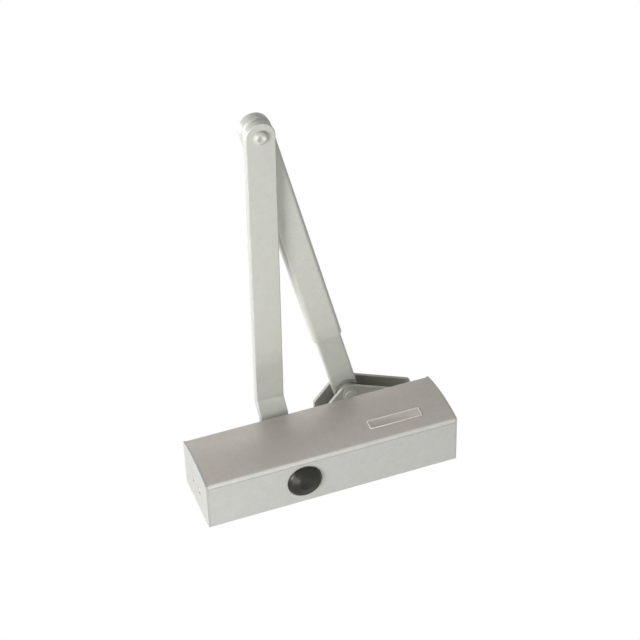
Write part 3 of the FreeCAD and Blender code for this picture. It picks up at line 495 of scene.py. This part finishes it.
def on_front(x, z, height):
    """The place at a height above the curved front of the cover."""
    centre_y = FRONT_RADIUS - FRONT_DEPTH
    y = centre_y - math.sqrt(FRONT_RADIUS ** 2 - z ** 2)
    out = Vector((0, y - centre_y, z)).normalized()
    return Vector((x, y, z)) + out * height


def rounded_ring(half_x, half_z, corner):
    """Points round a rectangle with round corners, about its own centre."""
    corner = max(corner, LEAST_CORNER)
    points = []
    for quarter, (sx, sz) in enumerate(((1, 1), (-1, 1), (-1, -1), (1, -1))):
        for step in range(CORNER_STEPS + 1):
            angle = math.pi / 2 * (quarter + step / CORNER_STEPS)
            points.append((sx * (half_x - corner) + corner * math.cos(angle),
                           sz * (half_z - corner) + corner * math.sin(angle)))
    return points


def make_badge(rim_look, field_look):
    """A thin curved plate with a raised rounded rim and a plain field, with nothing on it."""
    half_x, half_z = BADGE_SIZE[0] / 2, BADGE_SIZE[1] / 2
    profile = [(0.0, -BADGE_SUNK)]
    for step in range(1, RIM_STEPS):
        angle = math.pi * step / RIM_STEPS
        profile.append((BADGE_RIM * (1 - math.cos(angle)) / 2, BADGE_HEIGHT * math.sin(angle)))
    profile.append((BADGE_RIM, BADGE_FLOOR))
    mesh = bmesh.new()
    rings = []
    for inset, height in profile:
        outline = rounded_ring(half_x - inset, half_z - inset, BADGE_CORNER - inset)
        rings.append([mesh.verts.new(on_front(x + BADGE_CENTRE[0], z + BADGE_CENTRE[1], height))
                      for x, z in outline])
    join_rings(mesh, rings)
    inner_x, inner_z = half_x - FIELD_INSET, half_z - FIELD_INSET
    rows = []
    for step in range(FIELD_ROWS + 1):
        z = BADGE_CENTRE[1] + inner_z * (2 * step / FIELD_ROWS - 1)
        rows.append([mesh.verts.new(on_front(BADGE_CENTRE[0] + side * inner_x, z, FIELD_HEIGHT))
                     for side in (-1, 1)])
    for low, high in zip(rows, rows[1:]):
        mesh.faces.new((low[0], low[1], high[1], high[0])).material_index = 1
    badge = mesh_object("badge_plate", mesh, (rim_look, field_look))
    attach(badge, "closer_body")


def make_spring(name, look, coil, wire, turns):
    """A round-wire spring with closed ends in place of the plain CAD one.
    """
    mesh = bmesh.new()
    closed = CLOSED_RISE * wire
    pitch = (SPRING_END - SPRING_START - 2 * wire - 2 * closed) / (turns - 2)
    rings = []
    for step in range(turns * STEPS_PER_TURN + 1):
        turn = step / STEPS_PER_TURN
        rise = closed * min(turn, 1) + pitch * min(max(turn - 1, 0), turns - 2)
        rise += closed * max(turn - turns + 1, 0)
        angle = 2 * math.pi * turn
        out = Vector((0, math.sin(angle), math.cos(angle)))
        centre = Vector((SPRING_START + wire + rise, AXIS_Y, 0)) + out * coil
        ring = []
        for side in range(WIRE_SIDES):
            way = 2 * math.pi * side / WIRE_SIDES
            offset = out * wire * math.cos(way) + Vector((wire * math.sin(way), 0, 0))
            ring.append(mesh.verts.new(centre + offset))
        rings.append(ring)
    join_rings(mesh, rings)
    spring = mesh_object(name + "_wire", mesh, (look,))
    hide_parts(name)
    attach(spring, "closer_body")
    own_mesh(spring)


# Stage, light and camera

def by_ray(tree, dim, bright, output):
    """A dim shader for the light that it gives, and a bright one that is seen.

    The camera, reflections and glass see the bright one.
    """
    path = add(tree, "LightPath")
    seen = reckon(tree, "MAXIMUM", path.outputs["Is Camera Ray"],
                  path.outputs["Is Transmission Ray"])
    shown = reckon(tree, "MAXIMUM", seen, path.outputs["Is Glossy Ray"])
    mix = add(tree, "MixShader")
    tree.links.new(shown, mix.inputs["Fac"])
    tree.links.new(dim.outputs[0], mix.inputs[1])
    tree.links.new(bright.outputs[0], mix.inputs[2])
    tree.links.new(mix.outputs[0], output.inputs["Surface"])


def make_world():
    """A white room, whose light is brighter from the door's side."""
    world = bpy.data.worlds.new("studio")
    world.use_nodes = True
    tree = world.node_tree
    tree.nodes.clear()
    dim = add(tree, "Background", color=WHITE)
    bright = add(tree, "Background", color=WHITE)
    shade = spread(tree, along(tree, "Y", "Generated"), (-1.0, 1.0), 0.0, 2 * WORLD_LEVEL)
    tree.links.new(shade, dim.inputs["Strength"])
    by_ray(tree, dim, bright, add(tree, "OutputWorld"))
    bpy.context.scene.world = world


def make_floor():
    """Pale paper that is seen nearly white, with the object's shadow on it."""
    bpy.ops.mesh.primitive_plane_add(size=FLOOR_SIZE, location=(0, 0, FLOOR_HEIGHT))
    floor = bpy.context.object
    floor.name = "floor"
    material, tree = new_material("floor_paper")
    matt = add(tree, "BsdfDiffuse", color=linear(FLOOR))
    shadowed = add(tree, "BsdfDiffuse", color=FLOOR_SHADOWED)
    glow = add(tree, "Emission", strength=FLOOR_GLOW)
    lit = add(tree, "AddShader")
    tree.links.new(shadowed.outputs[0], lit.inputs[0])
    tree.links.new(glow.outputs[0], lit.inputs[1])
    by_ray(tree, matt, lit, add(tree, "OutputMaterial"))
    floor.data.materials.append(material)


def make_lamp(name, direction, distance, size, level):
    """A square soft lamp that shines at the object from a direction."""
    data = bpy.data.lights.new(name, "AREA")
    data.size = size
    data.energy = level * math.pi ** 2 * distance ** 2
    lamp = bpy.data.objects.new(name, data)
    way = Vector(direction).normalized()
    lamp.location = Vector(LAMPS_AIM) + way * distance
    lamp.rotation_euler = way.to_track_quat("Z", "Y").to_euler()
    bpy.context.scene.collection.objects.link(lamp)


def make_camera():
    """The photograph's point of view."""
    data = bpy.data.cameras.new("camera")
    data.lens = CAMERA_LENS
    data.sensor_width = CAMERA_SENSOR
    data.clip_start = CAMERA_NEAR
    camera = bpy.data.objects.new("camera", data)
    right, up = Vector(CAMERA_RIGHT), Vector(CAMERA_UP)
    turn = Matrix((right, up, right.cross(up))).transposed()
    camera.matrix_world = Matrix.Translation(CAMERA_PLACE) @ turn.to_4x4()
    bpy.context.scene.collection.objects.link(camera)
    bpy.context.scene.camera = camera


def main():
    looks = make_materials()
    dress_nodes(looks)
    make_badge(looks["badge"], looks["cover"])
    make_spring("spring_outer", looks["spring"], **OUTER_SPRING)
    make_spring("spring_inner", looks["spring"], **INNER_SPRING)
    make_world()
    make_floor()
    for lamp in LAMPS:
        make_lamp(*lamp)
    make_camera()
    bpy.context.scene.view_settings.view_transform = "Standard"


main()
